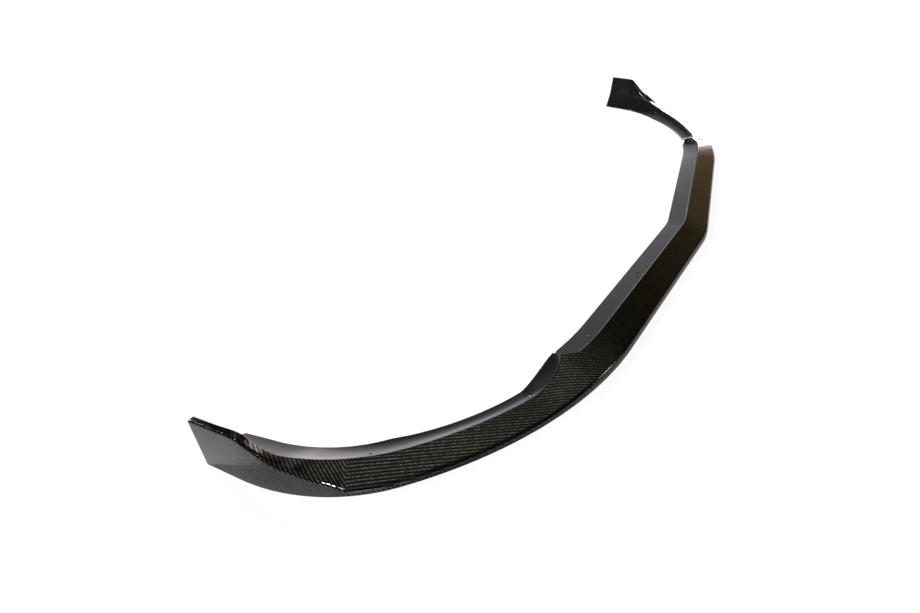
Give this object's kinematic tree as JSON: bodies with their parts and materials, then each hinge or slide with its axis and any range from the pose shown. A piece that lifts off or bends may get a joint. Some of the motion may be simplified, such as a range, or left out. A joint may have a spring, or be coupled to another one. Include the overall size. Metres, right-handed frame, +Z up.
{
  "type": "front splitter lip",
  "caption": "One-piece carbon front splitter lip: swept nose, curved wings with an inner screw flange, and upright end fins, to fit under a car's front bumper.",
  "frame": {"origin": "on the floor plane, under the middle of the lip's bounding box", "axes": "+X across the car, -Y to the nose, +Z up, as fitted and as it lies on a floor"},
  "size_m": [1.839, 0.4534, 0.0815],
  "materials": {
    "carbon": "clear-coated 2x2 twill carbon laminate; satin dark grey on the screw flange"
  },
  "bodies": {
    "root": {"splitter_lip": "carbon"}
  },
  "joints": []
}
